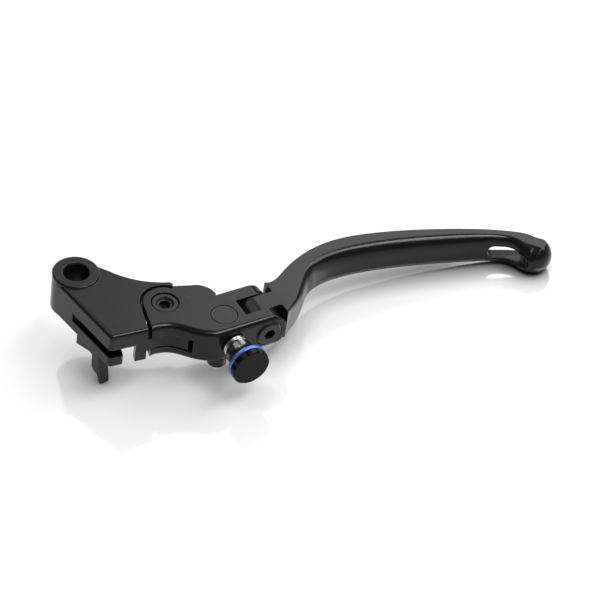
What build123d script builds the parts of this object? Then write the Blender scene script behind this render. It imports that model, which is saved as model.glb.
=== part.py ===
from build123d import *
from math import cos, pi, radians, sin, sqrt
import os

# Folding, reach-adjustable motorcycle clutch lever, in millimetres.
# The origin is the middle of the pivot bore, +Z runs up the bore, and +X points from the bore
# towards the tip. The handlebar grip lies on the +Y side.

# ---- driving dimensions ---------------------------------------------------
HALF_HEIGHT = 7.0            # adapter and link run from -HALF_HEIGHT to +HALF_HEIGHT
PIVOT_BORE_R = 4.5
BOSS_R = 8.5
BOSS_RISE = 0.8
BORE_CHAMFER = 0.5
WIDE_ROUNDING = 2.0                 # along both sides of the link
EDGE_ROUNDING = 1.3                 # along the adapter's outer edge and front
CORNER_R = 1.4

REACH_X, REACH_Y = 28.7, -17.9      # reach pivot
KNUCKLE_R = 7.7
RECESS_R = 9.0
SLOT_TOP = 2.5                      # the link's clevis slot, which takes the adapter's tongue
SLOT_BOTTOM = -3.4
SLOT_END_X = 36.3
FRONT_WAVE = ((35.0, -33.1), (28.4, -30.1), (24.8, -30.2))   # the link's front, in plan
TONGUE_TOP = 2.2
TONGUE_BOTTOM = -3.1
TONGUE_R = 7.4
TONGUE_END_X = 34.7                 # clear of the slot's end when the link turns
TONGUE_INSET = 0.4                  # tongue's front, behind the link's
LOBE_HALF_HEIGHT = 5.0
REACH_WASHER_T = 0.26
REACH_POST_R = 4.0
REACH_BUSH_R = 5.5
REACH_HEAD_R = 5.0
REACH_HEAD_BASE = 4.0
REACH_HEAD_TOP = 6.7
REACH_FLANGE_R = 5.5
REACH_FLANGE_TOP = -5.6
REACH_SCREW_R = 2.5

RETURN_POCKET_R = 1.6               # light spring between the adapter's recess and the link's upper ear
RETURN_POCKET_END = -6.5
RETURN_SPRING_OUT = 1.85

ADAPTER_EDGE = (-6.4, -4.7, 0)      # rear end of the adapter's outer edge
ADAPTER_EDGE_ANGLE = -65.0
SWITCH_BASE_T = 1.7                 # base of the switch actuator, screwed under the adapter
SWITCH_SIDE = 1.5                   # its outer face, in from the adapter's edge
SWITCH_FIN_T = 3.8
SWITCH_FOOT_R = 0.9
SWITCH_SCREWS = ((11.2, 5.9), (18.0, 9.2))
SWITCH_SCREW_R = 1.25
SWITCH_SCREW_TOP = -3.4

FORK_ANGLE = 17.0                   # the fork points this far round from +X
FOLD_X, FOLD_Y = 61.65, -21.15      # centre of the fold axis, at mid height
EAR_R = 7.1
FORK_SLOT_HALF = 3.95
FORK_BACK = 9.05                    # outer faces of the two ears, measured from the fork's centre
FORK_FRONT = -9.35
NOTCH_WALL = -7.1
FOLD_BOLT_R = 3.0
FOLD_BUSH_R = 4.2
FOLD_HEAD_R = 5.0
FOLD_HEAD_IN = -6.7
FOLD_HEAD_PROUD = 0.7
FOLD_NUT_R = 4.6
FOLD_NUT_IN = 6.4

ADJUSTER_X, ADJUSTER_Y = 48.3, -26.2   # dowel that the adjuster shaft passes through
DOWEL_R = 4.9
DOWEL_BOTTOM = -3.7
LINK_FRONT_T = 8.45                 # link's front and back faces along the adjuster axis
LINK_BACK_T = -9.95
SHAFT_R = 2.5
PLUNGER_R = 4.0
PLUNGER_FLAT = 3.3
PLUNGER_TIP_T = -11.63
PLUNGER_TAIL_T = -6.3
CLICK_BALL_R = 1.2
CLICK_BORE_TOP = 6.3
BUSH_R = 3.4
BUSH_IN_T = 6.6
COLLAR_T = (5.2, 6.5)
COLLAR_R = 3.2
SPRING_T = (8.5, 11.3)
SLEEVE_T = (11.3, 17.4)
RING_T = (17.4, 19.0)
KNOB_T = (19.0, 21.5)
RING_R = 7.3
KNOB_R = 7.15
HUB_R = 4.5
SCALLOPS = 8
GRUB_R = 1.25
GRUB_LOW = -4.8
LOCK_X, LOCK_Y = 46.2, -31.2        # short screw under the link that locks the adjuster's bush
LOCK_R = 2.0
LOCK_TOP = -3.9
LOCK_HEAD_H = 4.0

NIPPLE_X, NIPPLE_Y = 14.1, -25.5    # cable nipple seat
NIPPLE_R = 4.1
NIPPLE_TOP = 2.5
CABLE_SLOT_TOP = 0.5
CABLE_SLOT_BOTTOM = -3.2
CABLE_NOTCH_W = 4.4
JAW_END_R = 0.8                     # rounded end of the adapter under the cable slot

TONGUE_HALF = 3.6                   # blade tongue, between the fork's ears
BLADE_ROOT_HALF_HEIGHT = 6.5
TONGUE_END_R = 6.5
SHOULDER = 7.75
DETENT_SIDE = 6.2
DETENT_BALL_R = 1.5
DETENT_BALL_X = SHOULDER - 0.5 + DETENT_BALL_R
DETENT_END = 13.6
BLADE_HALF_HEIGHT = 6.0
BLADE_BACK_EDGE = 0.45
ROUND_PULL = 0.55                   # control point of an elliptic rounding, as a share of its radius
BLADE_LOW_W, BLADE_LOW_H = 1.3, 2.0   # rounding of the blade's lower front edge
TIP_CENTRE = (172.9, 1.7)
TIP_R = 7.0
TIP_CROWN = 6.28                    # the ball is shaped like a barrel above, along the blade
TIP_ANGLE = -31.0
EYE_X, EYE_Z = 162.8, -0.5          # middle of the opening in the tip
EYE_LENGTH = 13.4
EYE_FRONT_H = 5.3
EYE_BACK_H = 7.2
EYE_TILT = 3.5
EYE_FRONT_Y = -3.4                  # from here backwards the opening grows towards the tip
EYE_FLARE = 0.25

RUNNING = 0.04                      # radial clearance of a pin in its bush
SEAT = 0.05                         # clearance of a part dropped into its seat
WASHER_GAP = 0.02

HERE = Location((0, 0, 0))
REACH = Location((REACH_X, REACH_Y, 0))
FORK = Location((FOLD_X, FOLD_Y, 0), (0, 0, FORK_ANGLE))
ADJUSTER = Location((ADJUSTER_X, ADJUSTER_Y, 0), (0, 0, FORK_ANGLE - 90))
DOWEL = Location((ADJUSTER_X, ADJUSTER_Y, 0))
GRUB = ADJUSTER * Location((SLEEVE_T[0] + 1.8, 0, 0))
LOCK = Location((LOCK_X, LOCK_Y, 0))
RETURN_SPRING = Location((19.4, -26.0, 4.7))
SWITCH = Location(ADAPTER_EDGE, (0, 0, ADAPTER_EDGE_ANGLE))
TIP = Location((*TIP_CENTRE, 0), (0, 0, TIP_ANGLE))

TURN = {"x": Rotation(0, 90, 0), "y": Rotation(-90, 0, 0), "z": Rotation(0, 0, 0)}


# ---- helpers ---------------------------------------------------------------
def place(frame, axis, along, side=0.0, up=0.0):
    """Location in a frame: 'along' is measured on the axis; side and up are across it."""
    spots = {
        "x": (along, side, up),
        "y": (side, along, up),
        "z": (side, up, along),
    }
    return frame * Pos(*spots[axis]) * TURN[axis]


def rod(frame, axis, start, end, radius, side=0.0, up=0.0):
    """Cylinder along an axis of a frame, from start to end."""
    low, high = min(start, end), max(start, end)
    return place(frame, axis, (low + high) / 2, side, up) * Cylinder(radius, high - low)


def ring(frame, axis, start, end, outer, inner, side=0.0, up=0.0):
    """Tube along an axis of a frame."""
    longer = 1.0
    hole = rod(frame, axis, min(start, end) - longer, max(start, end) + longer, inner, side, up)
    return rod(frame, axis, start, end, outer, side, up) - hole


def slab(outline, low, high):
    """Closed flat outline, extruded from one height to another."""
    return Pos(0, 0, low) * extrude(make_face(outline), high - low)


def block(frame, x_range, y_range, z_range):
    """Box in a frame, given by its three ranges."""
    centre = [(a + b) / 2 for a, b in (x_range, y_range, z_range)]
    sides = [abs(b - a) for a, b in (x_range, y_range, z_range)]
    return frame * Pos(*centre) * Box(*sides)


def hex_socket(frame, axis, mouth, depth, across_flats):
    """Hexagonal recess that starts at the mouth and runs for a signed depth."""
    hexagon = RegularPolygon(across_flats / sqrt(3), 6)
    start = min(mouth, mouth + depth)
    return place(frame, axis, start) * extrude(hexagon, abs(depth))


def coil(frame, axis, start, end, radius, wire, turns, side=0.0, up=0.0):
    """Round-wire compression spring with flat-lying ends left open."""
    low, high = min(start, end) + wire, max(start, end) - wire
    path = Helix(pitch=(high - low) / turns, height=high - low, radius=radius)
    section = Plane(origin=path @ 0, z_dir=path % 0) * Circle(wire)
    return place(frame, axis, low, side, up) * sweep(section, path=path, is_frenet=True)


def rim(solid, height):
    """Edges of a slab's flat face at one height."""
    return solid.edges().filter_by(lambda e: abs(e.bounding_box().min.Z - height) < 1e-4
                                   and abs(e.bounding_box().max.Z - height) < 1e-4)


def fork_point(along, across):
    """Point in the row frame, given in the fork's own plan axes."""
    return (FORK * Pos(along, across, 0)).position


def polar(centre_x, centre_y, radius, degrees):
    """Point on a circle in the XY plane."""
    return (centre_x + radius * cos(radians(degrees)), centre_y + radius * sin(radians(degrees)))


# ---- adapter ---------------------------------------------------------------
def adapter_plate():
    """Flat machined plate from the boss to the recess round the link's knuckle."""
    tangent = polar(0, 0, BOSS_R, 205)
    front_corner = (6.9, -33.9)
    front_end = (20.4, -31.3)
    recess_start = polar(REACH_X, REACH_Y, RECESS_R, 187)
    recess_middle = polar(REACH_X, REACH_Y, RECESS_R, 125)
    recess_end = polar(REACH_X, REACH_Y, RECESS_R, 62)
    arm_tip = (33.3, -8.8)
    arm_back = (32.2, -7.7)
    back_middle = (21.6, -5.7)
    back_inner = (12.1, -0.1)
    inside_boss = (6.0, 4.4)
    outline = Polyline((0, 0), tangent, front_corner, front_end, recess_start)
    outline += ThreePointArc(recess_start, recess_middle, recess_end)
    outline += Polyline(recess_end, arm_tip, arm_back)
    outline += ThreePointArc(arm_back, back_middle, back_inner)
    outline += Polyline(back_inner, inside_boss, (0, 0))
    plate = slab(outline, -HALF_HEIGHT, HALF_HEIGHT)
    corner = plate.edges().filter_by(Axis.Z).sort_by_distance((*front_corner, 0))[0]
    plate = fillet(corner, CORNER_R)
    top_corner = Vector(*front_corner, HALF_HEIGHT)
    rounded = []
    for spot in (tangent, front_corner, front_end):
        middle = (Vector(*spot, HALF_HEIGHT) + top_corner) / 2
        rounded.append(rim(plate, HALF_HEIGHT).sort_by_distance(middle)[0])
    return fillet(rounded, EDGE_ROUNDING)


def adapter_tongue():
    """Thin tongue between the link's ears, and the thicker lobe that the plunger pushes."""
    web = Polyline((19.0, -17.0), (19.0, -8.5), (36.5, -8.5), (36.5, -13.2), (35.0, -17.9), (19.0, -17.0))
    tongue = slab(web, TONGUE_BOTTOM, TONGUE_TOP)
    front_start = (18.5, -31.3)
    front_end = (TONGUE_END_X, FRONT_WAVE[0][1] + TONGUE_INSET)
    front = [(x, y + TONGUE_INSET) for x, y in FRONT_WAVE[:0:-1]]
    apron = Spline(front_start, (21.6, -31.0), *front, front_end)
    apron += Polyline(front_end, (TONGUE_END_X, -17.0), (18.5, -17.0), front_start)
    tongue += slab(apron, TONGUE_BOTTOM, TONGUE_TOP)
    tongue += rod(REACH, "z", TONGUE_BOTTOM, TONGUE_TOP, TONGUE_R)
    back = (32.2, -7.7)
    bend = (42.2, -7.9)
    nose = (48.2, -13.1)
    push_end = (47.2, -14.35)
    push_start = (42.6, -15.75)
    outline = Line(back, bend)
    outline += ThreePointArc(bend, (46.3, -10.0), nose)
    outline += Polyline(nose, push_end, push_start)
    outline += Spline(push_start, (39.4, -15.5), (36.8, -13.2), (33.2, -9.6))
    outline += Line((33.2, -9.6), back)
    lobe = slab(outline, -LOBE_HALF_HEIGHT, LOBE_HALF_HEIGHT)
    return tongue + lobe


def adapter_body():
    body = adapter_plate() + rod(HERE, "z", -HALF_HEIGHT, HALF_HEIGHT, BOSS_R)
    boss = rod(HERE, "z", -HALF_HEIGHT - BOSS_RISE, HALF_HEIGHT + BOSS_RISE, BOSS_R)
    boss = chamfer(boss.edges().filter_by(GeomType.CIRCLE), 0.45)
    body += boss
    body += adapter_tongue()
    bore = rod(HERE, "z", -HALF_HEIGHT - BOSS_RISE, HALF_HEIGHT + BOSS_RISE, PIVOT_BORE_R)
    for end in (-1, 1):
        mouth = Pos(0, 0, end * (HALF_HEIGHT + BOSS_RISE - BORE_CHAMFER / 2))
        cone_radii = (PIVOT_BORE_R, PIVOT_BORE_R + BORE_CHAMFER)
        if end < 0:
            cone_radii = cone_radii[::-1]
        bore += mouth * Cone(*cone_radii, BORE_CHAMFER)
    body -= bore
    body -= nipple_space()
    jaw_end = (NIPPLE_X - CABLE_NOTCH_W / 2, -32.9, (CABLE_SLOT_BOTTOM - HALF_HEIGHT) / 2)
    body = fillet(body.edges().filter_by(Axis.Z).sort_by_distance(jaw_end)[0], JAW_END_R)
    body -= rod(REACH, "z", TONGUE_BOTTOM, TONGUE_TOP, REACH_BUSH_R)
    body -= rod(RETURN_SPRING, "x", RETURN_SPRING_OUT, RETURN_POCKET_END, RETURN_POCKET_R)
    for along, inward in SWITCH_SCREWS:
        body -= rod(SWITCH, "z", -HALF_HEIGHT, SWITCH_SCREW_TOP, SWITCH_SCREW_R, along, inward)
    return body


def nipple_space():
    """Blind seat for the cable nipple, the notch in front of it and the slot that the cable swings in."""
    nipple = Location((NIPPLE_X, NIPPLE_Y, 0))
    seat = rod(nipple, "z", -HALF_HEIGHT, NIPPLE_TOP, NIPPLE_R)
    notch = block(nipple, (-CABLE_NOTCH_W / 2, CABLE_NOTCH_W / 2), (-12, 0), (-HALF_HEIGHT, CABLE_SLOT_TOP))
    swing = Polyline((-2.2, -13.2), (NIPPLE_X, NIPPLE_Y + NIPPLE_R), (NIPPLE_X + CABLE_NOTCH_W / 2, NIPPLE_Y),
                     (NIPPLE_X, -36), (0, -36), (-8, -14), (-2.2, -13.2))
    return seat + notch + slab(swing, CABLE_SLOT_BOTTOM, CABLE_SLOT_TOP)


def switch_actuator():
    """Base screwed under the adapter, with a fin beside the edge and a leg that works the clutch switch."""
    top = -HALF_HEIGHT
    low = top - SWITCH_BASE_T
    base_outline = Polyline((8.6, SWITCH_SIDE), (23.0, SWITCH_SIDE), (23.0, 4.0), (21.2, 11.6), (16.0, 11.6),
                            (8.6, 8.6), (8.6, SWITCH_SIDE))
    actuator = SWITCH * slab(base_outline, low, top)
    side = Polyline((9.6, top), (9.6, -14.6), (17.9, -11.9), (19.6, -12.2), (19.8, -17.4))
    side += ThreePointArc((19.8, -17.4), (21.2, -18.5), (22.8, -18.7))
    side += Polyline((22.8, -18.7), (24.0, -19.6), (24.3, -21.9), (25.6, -21.9), (24.6, -16.7), (23.8, -13.0),
                     (21.6, top), (9.6, top))
    fin = extrude(Plane.XZ * make_face(side), -SWITCH_FIN_T)
    fin = fillet(fin.edges().filter_by(Axis.Z).group_by(Axis.X)[0], 0.6)
    fin = fillet(fin.edges().filter_by(Axis.X).group_by(Axis.Z)[0], SWITCH_FOOT_R)
    actuator += SWITCH * Pos(0, SWITCH_SIDE, 0) * fin
    for along, inward in SWITCH_SCREWS:
        actuator -= rod(SWITCH, "z", low, top, SWITCH_SCREW_R, along, inward)
        actuator -= place(SWITCH, "z", low + 0.5, along, inward) * Cone(2.3, SWITCH_SCREW_R, 1.0)
    return actuator


def switch_screws():
    """Two countersunk M2.5 screws, as separate solids."""
    low = -HALF_HEIGHT - SWITCH_BASE_T
    screws = []
    for along, inward in SWITCH_SCREWS:
        spot = SWITCH * Location((along, inward, 0))
        screw = rod(spot, "z", low, SWITCH_SCREW_TOP - 0.1, SWITCH_SCREW_R)
        screw += place(spot, "z", low + 0.5) * Cone(2.3, SWITCH_SCREW_R, 1.0)
        screw -= hex_socket(spot, "z", low, 0.9, 1.5)
        screws.append(screw)
    return Compound(children=screws)


# ---- link and reach pivot --------------------------------------------------
def link_outline():
    """Plan outline: round knuckle, waisted back, wavy front and the fork's straight sides."""
    end = 9.0
    back_end = fork_point(end, FORK_BACK)
    front_end = fork_point(end, FORK_FRONT)
    back_start = fork_point(-18.6, FORK_BACK)
    front_start = fork_point(-19.2, FORK_FRONT)
    along = fork_point(1, 0) - fork_point(0, 0)
    left_corner = (22.0, -31.4)
    knuckle_start = polar(REACH_X, REACH_Y, KNUCKLE_R, 185)
    knuckle_middle = polar(REACH_X, REACH_Y, KNUCKLE_R, 118)
    knuckle_end = polar(REACH_X, REACH_Y, KNUCKLE_R, 50)
    falling = (sin(radians(50)), -cos(radians(50)))
    outline = Line(left_corner, knuckle_start)
    outline += ThreePointArc(knuckle_start, knuckle_middle, knuckle_end)
    outline += Spline(knuckle_end, (36.3, -15.2), (39.4, -17.4), back_start,
                      tangents=(falling, (along.X, along.Y)))
    outline += Polyline(back_start, back_end, front_end, front_start)
    outline += Spline(front_start, (41.0, -35.5), *FRONT_WAVE, left_corner,
                      tangents=((-along.X, -along.Y), (-0.75, -0.66)))
    return outline


def link_body():
    body = slab(link_outline(), -HALF_HEIGHT, HALF_HEIGHT)
    front_mid = fork_point(-5, FORK_FRONT)
    wave_mid = Vector(*FRONT_WAVE[0], 0)
    wide = []
    for height in (-HALF_HEIGHT, HALF_HEIGHT):
        edges = rim(body, height)
        for spot in (front_mid, wave_mid):
            wide.append(edges.sort_by_distance((spot.X, spot.Y, height))[0])
    body = fillet(wide, WIDE_ROUNDING)
    far = 20.0
    past_axis = block(FORK, (0, far), (-far, far), (-far, far))
    body -= past_axis - rod(FORK, "y", -far, far, EAR_R)
    notch_height = (-HALF_HEIGHT - 1, HALF_HEIGHT + 1)
    body -= block(FORK, (NOTCH_WALL, far), (-FORK_SLOT_HALF, FORK_SLOT_HALF), notch_height)
    body -= block(HERE, (10, SLOT_END_X), (-45, 0), (SLOT_BOTTOM, SLOT_TOP))
    body -= reach_pivot_space()
    body -= adjuster_space()
    body -= fold_bolt_space()
    body -= rod(LOCK, "z", -HALF_HEIGHT, LOCK_TOP, LOCK_R)
    return body


def reach_pivot_space():
    """Stepped hole for the reach pivot: screw head above, post between, flange below."""
    hole = rod(REACH, "z", -HALF_HEIGHT, REACH_HEAD_BASE, REACH_POST_R + SEAT)
    hole += rod(REACH, "z", REACH_HEAD_BASE, HALF_HEIGHT, REACH_HEAD_R + 3 * SEAT)
    hole += rod(REACH, "z", -HALF_HEIGHT, REACH_FLANGE_TOP, REACH_FLANGE_R + SEAT)
    return hole


def reach_pivot_post():
    """Shouldered post from below, threaded inside for the screw."""
    post = rod(REACH, "z", -HALF_HEIGHT + 0.1, REACH_HEAD_BASE - 0.1, REACH_POST_R)
    post += rod(REACH, "z", -HALF_HEIGHT + 0.1, REACH_FLANGE_TOP, REACH_FLANGE_R)
    post -= rod(REACH, "z", -4.0, REACH_HEAD_BASE, REACH_SCREW_R)
    post -= hex_socket(REACH, "z", -HALF_HEIGHT + 0.1, 2.0, 4.0)
    return post


def reach_pivot_screw():
    """Low-head socket screw with a dished face."""
    screw = rod(REACH, "z", REACH_HEAD_BASE, REACH_HEAD_TOP, REACH_HEAD_R)
    screw = chamfer(screw.edges().filter_by(GeomType.CIRCLE).group_by(Axis.Z)[-1], 0.5)
    screw += rod(REACH, "z", -3.6, REACH_HEAD_BASE, REACH_SCREW_R)
    dish_depth = 0.8
    screw -= Pos(REACH_X, REACH_Y, REACH_HEAD_TOP - dish_depth / 2) * Cone(2.5, 3.3, dish_depth)
    screw -= hex_socket(REACH, "z", REACH_HEAD_TOP - 3.0, 3.0, 4.0)
    return screw


def reach_washer(side):
    """Bronze thrust washer above (+1) or below (-1) the tongue."""
    if side > 0:
        low = SLOT_TOP - WASHER_GAP - REACH_WASHER_T
    else:
        low = SLOT_BOTTOM + WASHER_GAP
    return ring(REACH, "z", low, low + REACH_WASHER_T, 6.8, REACH_POST_R + SEAT)


# ---- adjuster --------------------------------------------------------------
def flatted(start, end, radius, half_width):
    """Round bar along the adjuster axis with two flats, top and bottom."""
    bar = rod(ADJUSTER, "x", start, end, radius)
    return bar & block(ADJUSTER, (start, end), (-radius, radius), (-half_width, half_width))


def adjuster_space():
    """Dowel bore from above, front bore for the bush and back bore for the plunger."""
    space = rod(DOWEL, "z", DOWEL_BOTTOM - SEAT, HALF_HEIGHT, DOWEL_R + SEAT)
    space += rod(ADJUSTER, "x", 0, LINK_FRONT_T + 1, BUSH_R)
    space += flatted(LINK_BACK_T - 1, 0, PLUNGER_R + SEAT, PLUNGER_FLAT + SEAT)
    return space


def adjuster_dowel():
    """Cross dowel, flush with the link's top, that carries the shaft and its click ball."""
    dowel = rod(DOWEL, "z", DOWEL_BOTTOM, HALF_HEIGHT - 0.05, DOWEL_R)
    dowel = chamfer(dowel.edges().filter_by(GeomType.CIRCLE).group_by(Axis.Z)[-1], 0.3)
    dowel -= rod(ADJUSTER, "x", -6, 6, SHAFT_R + RUNNING)
    dowel -= rod(DOWEL, "z", SHAFT_R - 0.2, CLICK_BORE_TOP, CLICK_BALL_R + SEAT)
    return dowel


def adjuster_click_ball():
    return Pos(ADJUSTER_X, ADJUSTER_Y, SHAFT_R + RUNNING + CLICK_BALL_R) * Sphere(CLICK_BALL_R)


def adjuster_click_spring():
    base = SHAFT_R + RUNNING + 2 * CLICK_BALL_R
    return coil(DOWEL, "z", base, CLICK_BORE_TOP - 0.02, 0.9, 0.15, 3)


def adjuster_bush():
    """Threaded bush that closes the front bore and keeps the shaft's collar in."""
    return ring(ADJUSTER, "x", BUSH_IN_T, LINK_FRONT_T, BUSH_R, SHAFT_R + RUNNING)


def adjuster_shaft():
    """Steel shaft: screw thread for the plunger at the back, collar, and plain stub for the knob."""
    shaft = rod(ADJUSTER, "x", -9.0, KNOB_T[0], SHAFT_R)
    shaft += rod(ADJUSTER, "x", *COLLAR_T, COLLAR_R)
    return shaft


def adjuster_plunger():
    """Nut that cannot turn: it slides in the link and its domed nose pushes the adapter's lobe."""
    dome_r = 5.0
    plunger = flatted(PLUNGER_TIP_T, PLUNGER_TAIL_T, PLUNGER_R, PLUNGER_FLAT)
    plunger &= place(ADJUSTER, "x", PLUNGER_TIP_T + dome_r) * Sphere(dome_r)\
        + rod(ADJUSTER, "x", PLUNGER_TIP_T + dome_r / 2, PLUNGER_TAIL_T, PLUNGER_R + 1)
    plunger -= rod(ADJUSTER, "x", -10.4, PLUNGER_TAIL_T, SHAFT_R + RUNNING)
    return plunger


def adjuster_spring():
    """Anti-rattle spring between the link and the sleeve."""
    return coil(ADJUSTER, "x", *SPRING_T, 4.1, 0.42, 2.5)


def adjuster_sleeve():
    """Polished bell-shaped sleeve behind the knob, with a grub screw hole underneath."""
    start, end = SLEEVE_T
    profile = Polyline((start, SHAFT_R), (start, 4.6), (start + 0.5, 5.0), (start + 2.2, 5.0))
    profile += ThreePointArc((start + 2.2, 5.0), (start + 4.2, 5.4), (end - 0.4, 6.5))
    profile += Polyline((end - 0.4, 6.5), (end, 6.5), (end, SHAFT_R), (start, SHAFT_R))
    sleeve = ADJUSTER * revolve(make_face(profile), Axis.X)
    return sleeve - rod(GRUB, "z", -5.5, -SHAFT_R, GRUB_R)


def knob_grub_screw():
    grub = rod(GRUB, "z", GRUB_LOW, -SHAFT_R, GRUB_R)
    return grub - hex_socket(GRUB, "z", GRUB_LOW, 1.2, 1.3)


def adjuster_ring():
    """Coloured ring clamped between the sleeve and the knob."""
    hoop = ring(ADJUSTER, "x", *RING_T, RING_R, HUB_R)
    outer = hoop.edges().filter_by(GeomType.CIRCLE).filter_by(lambda e: e.radius > HUB_R + 1)
    return fillet(outer, 0.5)


def adjuster_knob():
    """Knob with a scalloped rim and a hub that passes through the ring."""
    knob = rod(ADJUSTER, "x", *KNOB_T, KNOB_R)
    knob = chamfer(knob.edges().filter_by(GeomType.CIRCLE), 0.3)
    cutter_r = 3.0
    depth = 0.4
    for index in range(SCALLOPS):
        angle = 2 * pi * (index + 0.5) / SCALLOPS
        reach = KNOB_R + cutter_r - depth
        side, up = reach * cos(angle), reach * sin(angle)
        knob -= rod(ADJUSTER, "x", KNOB_T[0] - 1, KNOB_T[1] + 1, cutter_r, side, up)
    knob += rod(ADJUSTER, "x", RING_T[0], KNOB_T[0], HUB_R)
    return knob - rod(ADJUSTER, "x", RING_T[0], KNOB_T[0], SHAFT_R)


def bush_lock_screw():
    """Short cap screw under the link, beside the adjuster's bush."""
    head_low = -HALF_HEIGHT - LOCK_HEAD_H
    screw = rod(LOCK, "z", head_low, -HALF_HEIGHT, 3.5)
    screw = chamfer(screw.edges().filter_by(GeomType.CIRCLE).group_by(Axis.Z)[0], 0.4)
    screw += rod(LOCK, "z", -HALF_HEIGHT, LOCK_TOP - 0.1, LOCK_R)
    return screw - hex_socket(LOCK, "z", head_low, 2.2, 3.0)


def reach_return_spring():
    """Light spring that keeps the lobe against the plunger."""
    return coil(RETURN_SPRING, "x", RETURN_POCKET_END + SEAT, RETURN_SPRING_OUT, 1.15, 0.25, 7)


# ---- fold joint ------------------------------------------------------------
def fold_bolt_space():
    """Cross hole through both ears, sunk at the front for the head and at the back for the nut."""
    hole = rod(FORK, "y", FORK_FRONT - 1, FORK_BACK + 1, FOLD_BOLT_R + SEAT)
    hole += rod(FORK, "y", FORK_FRONT - 1, FOLD_HEAD_IN, FOLD_HEAD_R + 4 * SEAT)
    hole += rod(FORK, "y", FOLD_NUT_IN, FORK_BACK + 1, FOLD_NUT_R + SEAT)
    return hole


def fold_pivot_bolt():
    """Socket bolt that the blade folds about."""
    face = FORK_FRONT - FOLD_HEAD_PROUD
    bolt = rod(FORK, "y", face, FOLD_HEAD_IN, FOLD_HEAD_R)
    bolt = chamfer(bolt.edges().filter_by(GeomType.CIRCLE), FOLD_HEAD_PROUD)
    bolt += rod(FORK, "y", FOLD_HEAD_IN - 0.5, FORK_BACK - 0.5, FOLD_BOLT_R)
    return bolt - hex_socket(FORK, "y", face, 1.9, 4.0)


def fold_pivot_nut():
    """Round nut sunk in the rear ear, with two spanner holes."""
    nut = ring(FORK, "y", FOLD_NUT_IN, FORK_BACK - 0.1, FOLD_NUT_R, FOLD_BOLT_R)
    for side in (-3.8, 3.8):
        nut -= rod(FORK, "y", FORK_BACK - 1.3, FORK_BACK, 0.5, side)
    return nut


def fold_washer(side):
    """Thin bronze washer between the tongue and the front (-1) or rear (+1) ear."""
    inner = TONGUE_HALF + WASHER_GAP
    outer = FORK_SLOT_HALF - WASHER_GAP
    return ring(FORK, "y", side * inner, side * outer, 5.6, FOLD_BOLT_R + SEAT)


def fold_bush():
    return ring(FORK, "y", -TONGUE_HALF, TONGUE_HALF, FOLD_BUSH_R, FOLD_BOLT_R + RUNNING)


def fold_detent_ball():
    return FORK * Pos(DETENT_BALL_X, DETENT_SIDE, 0) * Sphere(DETENT_BALL_R)


def fold_detent_spring():
    start = DETENT_BALL_X + DETENT_BALL_R
    return coil(FORK, "x", start, DETENT_END - 0.05, 1.1, 0.2, 4, DETENT_SIDE)


# ---- blade -----------------------------------------------------------------
# Each station runs from the blade's front face to its back face, in plan, followed by the height of
# its top, the width and height of the rounding along the upper front edge, and its depth below.
BLADE_STATIONS = (
    ((71.45, -26.9), (66.35, -10.2), BLADE_ROOT_HALF_HEIGHT, 1.2, 1.4, BLADE_ROOT_HALF_HEIGHT),
    ((76.2, -21.0), (70.5, -8.95), 6.45, 2.0, 2.6, 6.45),
    ((80.7, -13.5), (74.6, -4.6), 6.35, 2.8, 3.9, 6.35),
    ((84.8, -6.0), (80.2, 1.0), 6.25, 3.0, 4.6, 6.25),
    ((90.2, -1.5), (87.5, 6.3), 6.15, 3.4, 5.0, 6.15),
    ((98.6, 1.8), (97.3, 10.65), 6.05, 3.8, 5.2, 6.05),
    ((110.5, 4.15), (110.0, 12.9), BLADE_HALF_HEIGHT, 3.9, 5.2, BLADE_HALF_HEIGHT),
    ((126.0, 5.5), (126.2, 13.45), BLADE_HALF_HEIGHT, 3.9, 5.2, BLADE_HALF_HEIGHT),
    ((141.0, 5.85), (141.8, 12.75), BLADE_HALF_HEIGHT, 3.6, 5.0, BLADE_HALF_HEIGHT),
    ((154.5, 5.6), (155.2, 11.3), BLADE_HALF_HEIGHT, 2.9, 4.6, BLADE_HALF_HEIGHT),
    ((160.9, 4.9), (162.3, 10.0), BLADE_HALF_HEIGHT, 2.4, 4.0, BLADE_HALF_HEIGHT),
    ((164.7, 3.2), (167.3, 8.75), 5.98, 2.3, 3.6, 5.8),
    ((167.2, -0.3), (171.3, 7.2), 5.9, 3.0, 3.5, 5.1),
    ((169.5, -3.4), (174.6, 4.2), 5.6, 3.2, 3.4, 3.9),
)


def blade_section(front, back, top, round_w, round_h, depth):
    """Upright section between the two faces: large rounding at the top front, small one below it."""
    front = Vector(*front, 0)
    back = Vector(*back, 0)
    width = (back - front).length
    upright = Plane(origin=front, x_dir=back - front, z_dir=(back - front).cross(Vector(0, 0, 1)))
    low = -depth
    edge = BLADE_BACK_EDGE
    outline = Bezier((0, top - round_h), (0, top - round_h * (1 - ROUND_PULL)),
                     (round_w * (1 - ROUND_PULL), top), (round_w, top))
    outline += Polyline((round_w, top), (width - edge, top), (width, top - edge), (width, low + edge),
                        (width - edge, low), (BLADE_LOW_W, low))
    outline += Bezier((BLADE_LOW_W, low), (0, low), (0, low + BLADE_LOW_H))
    outline += Line((0, low + BLADE_LOW_H), (0, top - round_h))
    return upright * make_face(outline)


def blade_tongue():
    """Tongue in the fork: round above so that it folds up, square below so that it stops level."""
    reach = SHOULDER + 2.0
    half = BLADE_ROOT_HALF_HEIGHT
    tongue = rod(FORK, "y", -TONGUE_HALF, TONGUE_HALF, TONGUE_END_R)
    tongue += block(FORK, (0, reach), (-TONGUE_HALF, TONGUE_HALF), (-half, half))
    tongue += block(FORK, (NOTCH_WALL + SEAT, 0), (-TONGUE_HALF, TONGUE_HALF), (-half, 0))
    return tongue


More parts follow.
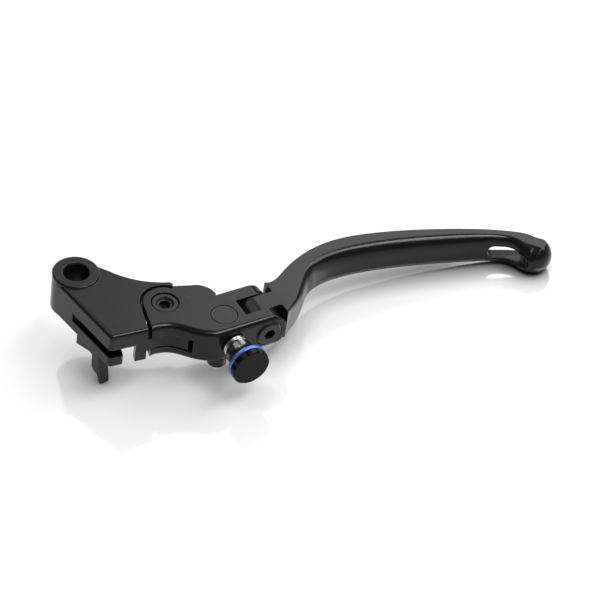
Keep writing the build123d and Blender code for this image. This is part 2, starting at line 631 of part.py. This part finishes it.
def blade_tip():
    """Ball at the end of the blade: milled flat above and below, with the blade's flat run out over it."""
    ball = TIP * Sphere(TIP_R)
    flats = (-BLADE_HALF_HEIGHT, BLADE_HALF_HEIGHT)
    along = Vector(cos(radians(TIP_ANGLE)), sin(radians(TIP_ANGLE)), 0)
    across = Vector(0, 0, 1).cross(along)
    wide = 2 * TIP_R
    barrel = Plane(origin=(*TIP_CENTRE, 0), x_dir=across, z_dir=along) * Ellipse(TIP_R, TIP_CROWN)
    barrel = extrude(barrel, wide, both=True)
    barrel += block(TIP, (-wide, wide), (-wide, wide), (-wide, 0))
    return ball & barrel & block(TIP, (-wide, wide), (-wide, wide), flats)


def blade_eye():
    """Opening through the tip, from front to back, taller at the back."""
    ends = []
    for y, height in ((-7.0, EYE_FRONT_H), (5.0, EYE_FRONT_H), (17.0, EYE_BACK_H * 2 - EYE_FRONT_H)):
        longer = EYE_FLARE * (y - EYE_FRONT_Y)
        plane = Plane(origin=(EYE_X + longer / 2, y, EYE_Z), x_dir=(1, 0, 0), z_dir=(0, -1, 0))
        ends.append(plane * Rot(0, 0, EYE_TILT) * SlotOverall(EYE_LENGTH + longer, height))
    return loft(ends[:2], ruled=True) + loft(ends[1:], ruled=True)


def blade():
    body = loft([blade_section(*station) for station in BLADE_STATIONS])
    body += blade_tip()
    body += blade_tongue()
    body -= blade_eye()
    body -= rod(FORK, "y", -TONGUE_HALF - 1, TONGUE_HALF + 1, FOLD_BUSH_R)
    body -= rod(FORK, "x", SHOULDER - 1, DETENT_END, DETENT_BALL_R + SEAT, DETENT_SIDE)
    return body


# ---- assembly --------------------------------------------------------------
def parts():
    """Every node by name."""
    return {
        "adapter_body": adapter_body(),
        "reach_bush": ring(REACH, "z", TONGUE_BOTTOM, TONGUE_TOP, REACH_BUSH_R, REACH_POST_R + RUNNING),
        "reach_return_spring": reach_return_spring(),
        "switch_actuator": switch_actuator(),
        "switch_actuator_screws": switch_screws(),
        "link_body": link_body(),
        "reach_pivot_post": reach_pivot_post(),
        "reach_pivot_screw": reach_pivot_screw(),
        "reach_washer_upper": reach_washer(1),
        "reach_washer_lower": reach_washer(-1),
        "adjuster_dowel": adjuster_dowel(),
        "adjuster_click_ball": adjuster_click_ball(),
        "adjuster_click_spring": adjuster_click_spring(),
        "adjuster_bush": adjuster_bush(),
        "adjuster_spring": adjuster_spring(),
        "bush_lock_screw": bush_lock_screw(),
        "adjuster_shaft": adjuster_shaft(),
        "adjuster_sleeve": adjuster_sleeve(),
        "knob_grub_screw": knob_grub_screw(),
        "adjuster_ring": adjuster_ring(),
        "adjuster_knob": adjuster_knob(),
        "adjuster_plunger": adjuster_plunger(),
        "fold_pivot_bolt": fold_pivot_bolt(),
        "fold_pivot_nut": fold_pivot_nut(),
        "fold_washer_front": fold_washer(-1),
        "fold_washer_rear": fold_washer(1),
        "fold_bush": fold_bush(),
        "fold_detent_ball": fold_detent_ball(),
        "fold_detent_spring": fold_detent_spring(),
        "blade": blade(),
    }


os.makedirs("parts", exist_ok=True)
for name, shape in parts().items():
    export_step(shape, os.path.join("parts", name + ".step"))
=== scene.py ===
from math import cos, pi, radians, sin

import bpy
from mathutils import Matrix, Vector


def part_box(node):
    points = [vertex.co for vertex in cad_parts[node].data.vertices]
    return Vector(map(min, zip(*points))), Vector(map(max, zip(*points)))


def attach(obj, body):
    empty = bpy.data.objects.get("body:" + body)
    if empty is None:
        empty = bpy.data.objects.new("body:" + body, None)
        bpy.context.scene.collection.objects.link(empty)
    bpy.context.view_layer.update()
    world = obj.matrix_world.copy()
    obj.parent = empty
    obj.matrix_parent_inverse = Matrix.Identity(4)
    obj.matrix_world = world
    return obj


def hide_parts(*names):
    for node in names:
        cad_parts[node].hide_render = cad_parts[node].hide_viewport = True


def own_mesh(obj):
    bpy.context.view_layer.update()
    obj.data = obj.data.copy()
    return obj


# Looks of a folding, reach-adjustable motorcycle clutch lever: satin black anodised aluminium,
# a polished black adjuster with a blue ring, and black steel fasteners, on a glossy white table.

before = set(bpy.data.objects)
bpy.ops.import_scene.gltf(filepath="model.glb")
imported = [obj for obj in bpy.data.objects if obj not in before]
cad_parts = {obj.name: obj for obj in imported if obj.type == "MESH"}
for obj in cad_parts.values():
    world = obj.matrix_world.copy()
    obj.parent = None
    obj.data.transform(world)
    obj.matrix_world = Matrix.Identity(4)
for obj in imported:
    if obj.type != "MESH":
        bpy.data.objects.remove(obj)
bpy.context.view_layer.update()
MM = 0.001

# ---- camera ------------------------------------------------------------------
CAMERA_TARGET = Vector((76.84, -21.53, 7.0)) * MM
CAMERA_HEADING = radians(19)        # how far it stands to the left of straight in front
CAMERA_RISE = radians(42)
CAMERA_ROLL = radians(9)
CAMERA_DISTANCE = 0.852
CAMERA_LENS = 144.0                 # millimetres, on the sensor below
CAMERA_SENSOR = 36.0
CAMERA_CLIP = (0.01, 20.0)
AWAY = pi / 2 - CAMERA_HEADING      # heading of the camera's line of sight, from +X towards +Y
TOWARDS = AWAY + pi

# ---- table -------------------------------------------------------------------
# The lever lies on the foot of its switch actuator and on its tip, so the table is tilted
# against the lever's own frame. It glows a little, a painted light for the white studio all
# round, and its glow and its colour are darkened into painted shade where the lever is close
# above it.
TABLE_HEIGHT = -24.2 * MM
TABLE_SLOPE_X = 0.106
TABLE_SLOPE_Y = -0.054
TABLE_REACH = 3.0
TABLE_SHADE_DISTANCE = 12 * MM
TABLE_SHADE_FULL = 0.35             # openness at which the table is fully shaded
TABLE_SHADED, TABLE_OPEN = 0.10, 0.62
TABLE_ROUGHNESS = 0.08
TABLE_IOR = 2.2
TABLE_GLOW = 0.35

# ---- light -------------------------------------------------------------------
# Name, heading, rise in degrees, distance, width and height in metres, radiance.
LIGHTS = (
    ("back_dim", AWAY, 38, 1.7, 2.4, 0.85, 0.95),
    ("back_bright", AWAY - radians(26), 38, 1.5, 1.3, 0.75, 1.7),
    ("back_left", AWAY + radians(55), 48, 1.6, 0.9, 0.9, 1.4),
    ("back_right", AWAY - radians(62), 48, 1.6, 0.9, 0.9, 4.5),
    ("front_top", TOWARDS + radians(72), 71, 1.6, 1.1, 0.5, 10.0),
)
# Grey of the studio by the height of the view's direction, from the horizon up to the zenith.
SKY = ((0.0, 0.30), (0.25, 0.10), (0.7, 0.08), (1.0, 0.12))

# ---- directions --------------------------------------------------------------
FORK_ANGLE = radians(17)
UPRIGHT = (0.0, 0.0, 0.0)
ADJUSTER_TURN = (0.0, pi / 2, FORK_ANGLE - pi / 2)
FOLD_TURN = (-pi / 2, 0.0, FORK_ANGLE)

# ---- finishes ----------------------------------------------------------------
NOISE_LOW, NOISE_HIGH = 0.3, 0.7    # where nearly all of a noise texture's values lie
EDGE_NONE, EDGE_FULL = 0.995, 0.85  # cosine between the rounded normal and the true one
ANODISED_DARK = (0.0055, 0.0055, 0.0058, 1.0)
ANODISED_LIGHT = (0.0080, 0.0080, 0.0083, 1.0)
# Grey laid on sharp edges of the satin parts: partly wear, partly a painted highlight for the
# light the edges catch.
EDGE_WEAR_AND_HIGHLIGHT_GREY = 0.26
EDGE_WEAR_AND_HIGHLIGHT_SHARE = 0.42
TURNED_RELIEF = 0.02 * MM
GRAIN_RELIEF = 0.01 * MM


def aim(position, target):
    """Rotation that points an object's -Z from a position to a target."""
    return (Vector(target) - Vector(position)).to_track_quat("-Z", "Y").to_euler()


def make_camera():
    data = bpy.data.cameras.new("camera")
    data.lens = CAMERA_LENS
    data.sensor_width = CAMERA_SENSOR
    data.clip_start, data.clip_end = CAMERA_CLIP
    back = Vector((-sin(CAMERA_HEADING) * cos(CAMERA_RISE),
                   -cos(CAMERA_HEADING) * cos(CAMERA_RISE),
                   sin(CAMERA_RISE)))
    level_right = Vector((cos(CAMERA_HEADING), -sin(CAMERA_HEADING), 0.0))
    level_up = back.cross(level_right)
    right = level_right * cos(CAMERA_ROLL) + level_up * sin(CAMERA_ROLL)
    up = level_up * cos(CAMERA_ROLL) - level_right * sin(CAMERA_ROLL)
    place = Matrix((right, up, back)).transposed().to_4x4()
    place.translation = CAMERA_TARGET + back * CAMERA_DISTANCE
    camera = bpy.data.objects.new("camera", data)
    camera.matrix_world = place
    bpy.context.scene.collection.objects.link(camera)
    bpy.context.scene.camera = camera


class Graph:
    """A material's node tree with its Principled shader."""

    def __init__(self, name):
        self.material = bpy.data.materials.new(name)
        self.material.use_nodes = True
        self.tree = self.material.node_tree
        self.tree.nodes.clear()
        output = self.add("OutputMaterial")
        self.shader = self.add("BsdfPrincipled")
        self.link(self.shader.outputs["BSDF"], output.inputs["Surface"])

    def add(self, kind, **settings):
        node = self.tree.nodes.new("ShaderNode" + kind)
        for key, value in settings.items():
            setattr(node, key, value)
        return node

    def link(self, source, target):
        self.tree.links.new(source, target)

    def feed(self, value, socket):
        """Links a socket, or sets a plain value."""
        if isinstance(value, bpy.types.NodeSocket):
            self.link(value, socket)
        else:
            socket.default_value = value

    def set(self, **values):
        """Sets the shader's own sockets; underscores stand for spaces."""
        for key, value in values.items():
            self.feed(value, self.shader.inputs[key.replace("_", " ")])

    def coords(self, centre=(0, 0, 0), turn=UPRIGHT):
        """Object coordinates seen from a centre and turned to an axis."""
        texture = self.add("TexCoord")
        mapping = self.add("Mapping", vector_type="TEXTURE")
        mapping.inputs["Location"].default_value = centre
        mapping.inputs["Rotation"].default_value = turn
        self.link(texture.outputs["Object"], mapping.inputs["Vector"])
        return mapping.outputs["Vector"]

    def noise(self, vector, scale, detail=2.0, roughness=0.5):
        node = self.add("TexNoise")
        self.link(vector, node.inputs["Vector"])
        node.inputs["Scale"].default_value = scale
        node.inputs["Detail"].default_value = detail
        node.inputs["Roughness"].default_value = roughness
        return node.outputs["Fac"]

    def rings(self, vector, scale, distortion=0.0):
        """Lathe marks round the coordinates' Z axis."""
        node = self.add("TexWave", wave_type="RINGS", rings_direction="Z")
        self.link(vector, node.inputs["Vector"])
        node.inputs["Scale"].default_value = scale
        node.inputs["Distortion"].default_value = distortion
        node.inputs["Detail"].default_value = 2.0
        return node.outputs["Fac"]

    def remap(self, value, to_low, to_high, low=NOISE_LOW, high=NOISE_HIGH):
        node = self.add("MapRange")
        self.link(value, node.inputs["Value"])
        node.inputs["From Min"].default_value = low
        node.inputs["From Max"].default_value = high
        node.inputs["To Min"].default_value = to_low
        node.inputs["To Max"].default_value = to_high
        return node.outputs["Result"]

    def math(self, operation, first, second):
        node = self.add("Math", operation=operation)
        self.feed(first, node.inputs[0])
        self.feed(second, node.inputs[1])
        return node.outputs["Value"]

    def mix(self, factor, first, second):
        node = self.add("Mix", data_type="RGBA")
        self.feed(factor, node.inputs["Factor"])
        self.feed(first, node.inputs["A"])
        self.feed(second, node.inputs["B"])
        return node.outputs["Result"]

    def bevel(self, radius):
        node = self.add("Bevel", samples=6)
        node.inputs["Radius"].default_value = radius
        return node.outputs["Normal"]

    def bump(self, height, strength, distance, normal=None):
        node = self.add("Bump")
        self.link(height, node.inputs["Height"])
        node.inputs["Strength"].default_value = strength
        node.inputs["Distance"].default_value = distance
        if normal is not None:
            self.link(normal, node.inputs["Normal"])
        return node.outputs["Normal"]

    def edges(self, rounded):
        """1 on sharp edges, 0 elsewhere: where the rounded normal leaves the true one."""
        geometry = self.add("NewGeometry")
        dot = self.add("VectorMath", operation="DOT_PRODUCT")
        self.link(rounded, dot.inputs[0])
        self.link(geometry.outputs["Normal"], dot.inputs[1])
        return self.remap(dot.outputs["Value"], 0.0, 1.0, EDGE_NONE, EDGE_FULL)


def grey(level):
    return (level, level, level, 1.0)


def satin_anodised(name):
    """Bead-blasted, black anodised aluminium, rubbed a little on its edges, with a painted
    highlight along them too.
    """
    g = Graph(name)
    here = g.coords()
    grain = g.noise(here, 4200.0, detail=3.0, roughness=0.6)
    cloud = g.noise(here, 160.0, detail=4.0, roughness=0.55)
    rounded = g.bevel(0.35 * MM)
    # Sharp edges mixed towards grey: partly wear, partly a painted highlight for the light the
    # edges catch.
    edge_wear_and_highlight = g.math("MULTIPLY", g.edges(rounded), g.remap(cloud, 0.35, 1.0, low=0.35))
    black = g.mix(g.remap(cloud, 0.0, 1.0), ANODISED_DARK, ANODISED_LIGHT)
    colour = g.mix(g.math("MULTIPLY", edge_wear_and_highlight, EDGE_WEAR_AND_HIGHLIGHT_SHARE), black, grey(EDGE_WEAR_AND_HIGHLIGHT_GREY))
    rough = g.remap(cloud, 0.19, 0.24)
    rough = g.math("ADD", rough, g.remap(grain, -0.02, 0.02))
    g.set(Base_Color=colour, Roughness=rough, Metallic=0.0, IOR=1.36,
          Normal=g.bump(grain, 0.08, 0.015 * MM, rounded))
    return g.material


def matt_plate(name):
    """Moulded black plate of the switch actuator."""
    g = Graph(name)
    here = g.coords()
    grain = g.noise(here, 2600.0, detail=3.0, roughness=0.65)
    cloud = g.noise(here, 220.0, detail=3.0)
    rounded = g.bevel(0.25 * MM)
    g.set(Base_Color=g.mix(cloud, grey(0.014), grey(0.022)),
          Roughness=g.remap(grain, 0.42, 0.55), IOR=1.5,
          Normal=g.bump(grain, 0.25, 0.03 * MM, rounded))
    return g.material


def turned(name, centre, turn, dark, light, roughness, metallic, ring_scale,
           ring_strength=0.12, bevel=0.12, ior=1.6):
    """Lathe-turned finish: fine rings round the piece's own axis."""
    g = Graph(name)
    along = g.coords(centre, turn)
    marks = g.rings(along, ring_scale, distortion=0.6)
    grain = g.noise(along, 3000.0, detail=3.0)
    rounded = g.bevel(bevel * MM)
    shade = g.mix(g.remap(grain, 0.0, 1.0), dark, light)
    # Sharp edges mixed to a brighter colour: partly wear, partly a painted highlight for the
    # light the edges catch.
    turned_edge_wear_and_highlight = g.math("MULTIPLY", g.edges(rounded), g.remap(grain, 0.1, 0.5))
    bright = tuple(min(1.0, c * 2.2 + 0.03) for c in light[:3]) + (1.0,)
    rough = g.remap(grain, roughness - 0.04, roughness + 0.05)
    normal = g.bump(marks, ring_strength, TURNED_RELIEF, rounded)
    g.set(Base_Color=g.mix(turned_edge_wear_and_highlight, shade, bright), Roughness=rough, Metallic=metallic, IOR=ior,
          Normal=g.bump(grain, 0.05, GRAIN_RELIEF, normal))
    return g.material


BLACK_STEEL = dict(dark=grey(0.010), light=grey(0.020), roughness=0.26, metallic=0.20,
                   ring_scale=900.0, ior=1.42)
BRIGHT_STEEL = dict(dark=(0.46, 0.46, 0.45, 1.0), light=(0.60, 0.60, 0.59, 1.0), roughness=0.22,
                    metallic=1.0, ring_scale=1200.0)
BRONZE = dict(dark=(0.42, 0.25, 0.10, 1.0), light=(0.58, 0.36, 0.16, 1.0), roughness=0.32,
              metallic=1.0, ring_scale=1100.0)
POLISHED_BLACK = dict(dark=grey(0.006), light=grey(0.010), roughness=0.09, metallic=0.0,
                      ring_scale=1000.0, ring_strength=0.04, bevel=0.25, ior=2.3)
KNOB_BLACK = dict(dark=grey(0.003), light=grey(0.005), roughness=0.14, metallic=0.0,
                  ring_scale=1000.0, ring_strength=0.06, bevel=0.25, ior=1.2)
BLUE_ANODISED = dict(dark=(0.085, 0.17, 0.58, 1.0), light=(0.12, 0.23, 0.70, 1.0), roughness=0.26,
                     metallic=0.5, ring_scale=1000.0, bevel=0.2)

FINISHES = (
    (UPRIGHT, BRONZE, ("reach_bush", "reach_washer_upper", "reach_washer_lower")),
    (UPRIGHT, BLACK_STEEL, ("reach_pivot_post", "reach_pivot_screw", "adjuster_dowel",
                            "bush_lock_screw", "knob_grub_screw", "switch_actuator_screws")),
    (UPRIGHT, BRIGHT_STEEL, ("reach_return_spring", "adjuster_click_ball",
                             "adjuster_click_spring")),
    (ADJUSTER_TURN, BLACK_STEEL, ("adjuster_bush",)),
    (ADJUSTER_TURN, BRIGHT_STEEL, ("adjuster_spring", "adjuster_shaft", "adjuster_plunger")),
    (ADJUSTER_TURN, POLISHED_BLACK, ("adjuster_sleeve",)),
    (ADJUSTER_TURN, KNOB_BLACK, ("adjuster_knob",)),
    (ADJUSTER_TURN, BLUE_ANODISED, ("adjuster_ring",)),
    (FOLD_TURN, BLACK_STEEL, ("fold_pivot_bolt", "fold_pivot_nut")),
    (FOLD_TURN, BRONZE, ("fold_bush", "fold_washer_front", "fold_washer_rear")),
    (FOLD_TURN, BRIGHT_STEEL, ("fold_detent_ball", "fold_detent_spring")),
)


def coat(node, material):
    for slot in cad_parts[node].material_slots:
        slot.material = material


def finish_nodes():
    satin = satin_anodised("satin_anodised")
    for node in ("adapter_body", "link_body", "blade"):
        coat(node, satin)
    coat("switch_actuator", matt_plate("switch_plate"))
    for turn, look, nodes in FINISHES:
        for node in nodes:
            low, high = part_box(node)
            coat(node, turned(node + "_finish", (low + high) / 2, turn, **look))


def make_return_spring():
    """The light spring between adapter and link, copied to its own mesh and carried by the
    adapter; the real one shortens as the link turns towards it.
    """
    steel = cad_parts["reach_return_spring"]
    coils = bpy.data.objects.new("return_spring_coils", steel.data.copy())
    bpy.context.scene.collection.objects.link(coils)
    for slot, old in zip(coils.material_slots, steel.material_slots):
        slot.material = old.material
    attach(coils, "adapter")
    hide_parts("reach_return_spring")
    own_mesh(coils)


def make_table():
    half = TABLE_REACH
    corners = []
    for x, y in ((-half, -half), (half, -half), (half, half), (-half, half)):
        corners.append((x, y, TABLE_HEIGHT + TABLE_SLOPE_X * x + TABLE_SLOPE_Y * y))
    mesh = bpy.data.meshes.new("table")
    mesh.from_pydata(corners, [], [(0, 1, 2, 3)])
    table = bpy.data.objects.new("table", mesh)
    bpy.context.scene.collection.objects.link(table)
    g = Graph("table_white")
    cover = g.add("AmbientOcclusion", samples=12)
    cover.inputs["Distance"].default_value = TABLE_SHADE_DISTANCE
    open_sky = g.remap(cover.outputs["AO"], 0.0, 1.0, TABLE_SHADE_FULL, 1.0)
    # Painted shade: the colour and the glow fade where ambient occlusion finds the lever close
    # above.
    g.set(Base_Color=g.mix(open_sky, grey(TABLE_SHADED), grey(TABLE_OPEN)),
          Roughness=TABLE_ROUGHNESS, IOR=TABLE_IOR, Emission_Color=grey(1.0),
          Emission_Strength=g.math("MULTIPLY", open_sky, TABLE_GLOW))
    mesh.materials.append(g.material)


def soft_light(name, heading, rise, distance, width, height, radiance):
    """Area light aimed at the lever."""
    data = bpy.data.lights.new(name, "AREA")
    data.shape = "RECTANGLE"
    data.size = width
    data.size_y = height
    data.energy = radiance * width * height * pi
    direction = Vector((cos(heading) * cos(rise), sin(heading) * cos(rise), sin(rise)))
    light = bpy.data.objects.new(name, data)
    light.location = CAMERA_TARGET + direction * distance
    light.rotation_euler = aim(light.location, CAMERA_TARGET)
    light.visible_camera = False
    bpy.context.scene.collection.objects.link(light)


def make_lights():
    for name, heading, rise, *sizes in LIGHTS:
        soft_light(name, heading, radians(rise), *sizes)


def make_world():
    """Grey studio for the reflections and the light, plain white behind the lever."""
    world = bpy.data.worlds.new("studio")
    world.use_nodes = True
    bpy.context.scene.world = world
    tree = world.node_tree
    tree.nodes.clear()
    texture = tree.nodes.new("ShaderNodeTexCoord")
    split = tree.nodes.new("ShaderNodeSeparateXYZ")
    ramp = tree.nodes.new("ShaderNodeValToRGB")
    path = tree.nodes.new("ShaderNodeLightPath")
    choose = tree.nodes.new("ShaderNodeMix")
    choose.data_type = "RGBA"
    background = tree.nodes.new("ShaderNodeBackground")
    output = tree.nodes.new("ShaderNodeOutputWorld")
    tree.links.new(texture.outputs["Generated"], split.inputs[0])
    tree.links.new(split.outputs["Z"], ramp.inputs["Fac"])
    elements = ramp.color_ramp.elements
    elements[0].color = grey(SKY[0][1])
    elements[1].color = grey(SKY[-1][1])
    for position, level in SKY[1:-1]:
        elements.new(position).color = grey(level)
    tree.links.new(path.outputs["Is Camera Ray"], choose.inputs["Factor"])
    tree.links.new(ramp.outputs["Color"], choose.inputs["A"])
    choose.inputs["B"].default_value = grey(1.0)
    tree.links.new(choose.outputs["Result"], background.inputs["Color"])
    tree.links.new(background.outputs["Background"], output.inputs["Surface"])


bpy.context.scene.view_settings.view_transform = "Standard"
make_camera()
make_table()
make_lights()
make_world()
finish_nodes()
make_return_spring()
